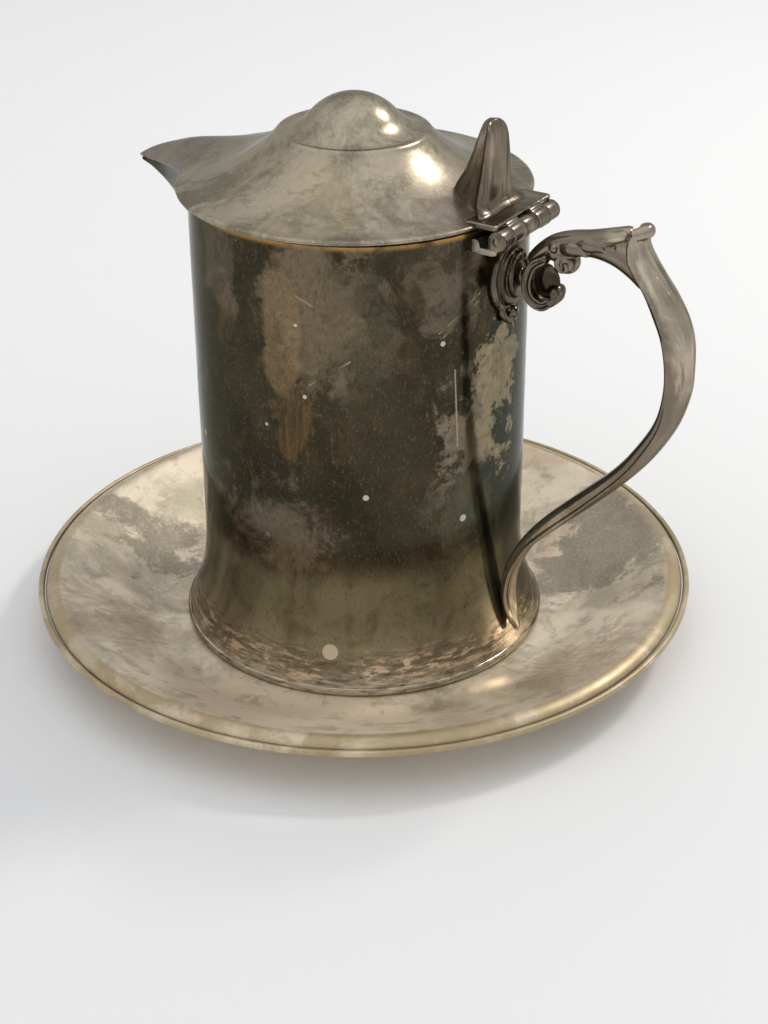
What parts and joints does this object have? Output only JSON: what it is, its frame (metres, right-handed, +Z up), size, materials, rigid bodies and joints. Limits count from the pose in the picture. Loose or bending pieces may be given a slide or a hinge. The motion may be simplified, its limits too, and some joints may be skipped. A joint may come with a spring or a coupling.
{
  "type": "lidded pouring jug",
  "caption": "Silver-plated pouring jug with a hinged domed lid, beak spout, thumbpiece and scroll handle, standing on its round underplate.",
  "frame": {"origin": "centre of the underplate's underside, on the table", "axes": "+Z up, +X towards the handle, -X towards the spout, hinge pin along Y"},
  "size_m": [0.1685, 0.165, 0.1344],
  "materials": {
    "plate_silver": "worn silver plate, satin with tarnish",
    "body_silver": "tarnished polished silver plate",
    "lid_silver": "tarnished satin silver plate",
    "hinge_silver": "worn silver plate",
    "pin_metal": "plated hinge wire",
    "cast_silver": "cast and polished, dark in the recesses"
  },
  "bodies": {
    "underplate": {"underplate_dish": "plate_silver", "underplate_rim_wire": "plate_silver"},
    "jug": {"jug_body": "body_silver", "jug_base_disc": "body_silver", "jug_foot_ring": "body_silver", "spout": "body_silver", "handle": "cast_silver", "handle_scroll": "cast_silver", "handle_mount": "cast_silver", "hinge_body_bracket": "hinge_silver", "hinge_pin": "pin_metal"},
    "lid": {"lid_shell": "lid_silver", "lid_bezel": "lid_silver", "lid_beak_cover": "lid_silver", "hinge_lid_leaf": "hinge_silver", "thumbpiece": "cast_silver"}
  },
  "joints": [
    {"name": "jug_lift", "type": "slide", "parent": "underplate", "child": "jug", "axis": [0, 0, 1], "range_m": [0, 0.12]},
    {"name": "lid_hinge", "type": "hinge", "parent": "jug", "child": "lid", "pos_m": [0.0436, 0, 0.1117], "axis": [0, 1, 0], "range_deg": [0, 92]}
  ]
}
